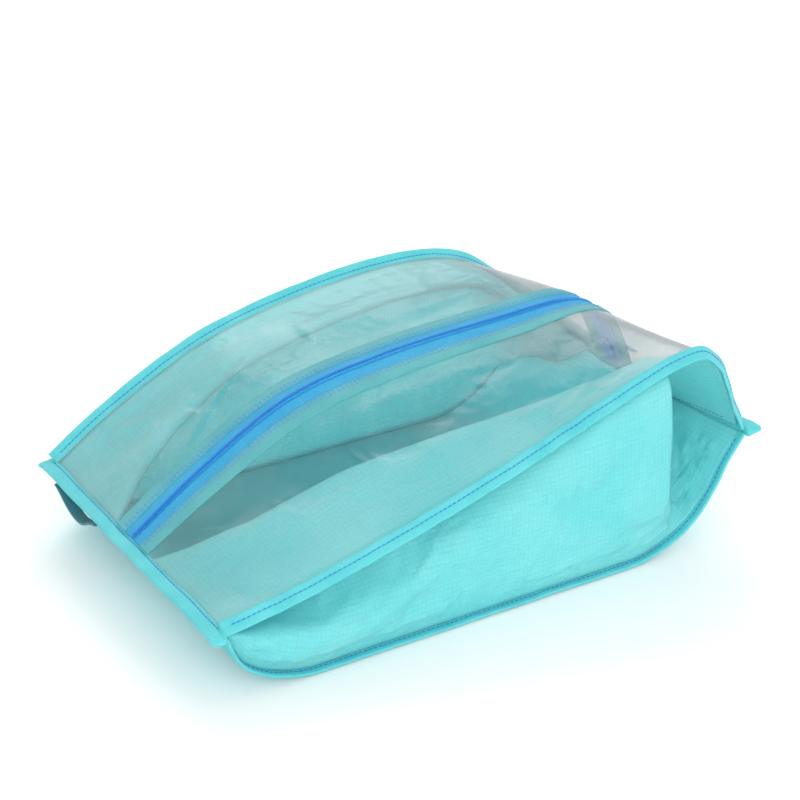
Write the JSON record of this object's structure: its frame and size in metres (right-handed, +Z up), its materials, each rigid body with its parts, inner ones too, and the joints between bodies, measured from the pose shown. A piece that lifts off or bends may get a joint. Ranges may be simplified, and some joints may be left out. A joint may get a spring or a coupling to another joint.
{
  "type": "travel shoe bag",
  "caption": "Soft travel shoe bag with a clear zipped top, folding side gussets, bound seams and a webbing loop at the toe end.",
  "frame": {"origin": "bottom centre of the bag's bounding box, on the surface that it stands on", "axes": "+X along the bag from the toe end, which has the webbing loop, to the heel end; +Y from the front gusset to the back one; +Z up"},
  "size_m": [0.374, 0.2406, 0.1309],
  "materials": {
    "nylon": "thin aqua ripstop nylon, slightly translucent, soft sheen",
    "binding": "folded aqua nylon tape, sewn with blue thread",
    "film": "clear soft film with a faint grey haze",
    "zip_tape": "woven sky-blue polyester tape",
    "coil": "blue nylon coil",
    "slider": "blue painted zinc",
    "webbing": "ribbed dark teal webbing"
  },
  "bodies": {
    "bag": {"base_panel": "nylon", "front_gusset": "nylon", "back_gusset": "nylon", "front_film": "film", "back_film": "film", "front_top_binding": "binding", "back_top_binding": "binding", "front_base_binding": "binding", "back_base_binding": "binding", "toe_binding": "binding", "heel_binding": "binding"},
    "front_zip_side": {"front_zip_trim": "binding", "front_zip_tape": "zip_tape", "front_zip_coil": "coil"},
    "back_zip_side": {"back_zip_trim": "binding", "back_zip_tape": "zip_tape", "back_zip_coil": "coil"},
    "zip_slider": {"slider_body": "slider"},
    "pull": {"pull_tab": "slider"},
    "loop": {"carry_loop": "webbing"}
  },
  "joints": [
    {"name": "zip_travel", "type": "hinge", "parent": "bag", "child": "zip_slider", "pos_m": [0.00621, 0, -0.05389], "axis": [0, -1, 0], "range_deg": [0, 107.2], "deforming": ["front_zip_tape", "back_zip_tape", "front_zip_coil", "back_zip_coil", "front_film", "back_film"]},
    {"name": "front_side_open", "type": "hinge", "parent": "bag", "child": "front_zip_side", "pos_m": [-0.1782, 0, 0.0455], "axis": [0.9966, 0, 0.0819], "range_deg": [0, 35], "deforming": ["front_film", "front_zip_tape", "front_zip_coil"]},
    {"name": "back_side_open", "type": "hinge", "parent": "bag", "child": "back_zip_side", "pos_m": [-0.1782, 0, 0.0455], "axis": [-0.9966, 0, -0.0819], "range_deg": [0, 35], "deforming": ["back_film", "back_zip_tape", "back_zip_coil"]},
    {"name": "pull_swing", "type": "hinge", "parent": "zip_slider", "child": "pull", "pos_m": [0.16249, 0, 0.08583], "axis": [0, -1, 0], "range_deg": [0, 120]},
    {"name": "loop_swing", "type": "hinge", "parent": "bag", "child": "loop", "pos_m": [-0.1868, 0.063, 0.0402], "axis": [0, 1, 0], "range_deg": [0, 90]}
  ],
  "couplings": [
    {"joint": "front_side_open", "follows": "zip_travel", "ratio": 0.326},
    {"joint": "back_side_open", "follows": "zip_travel", "ratio": 0.326}
  ]
}
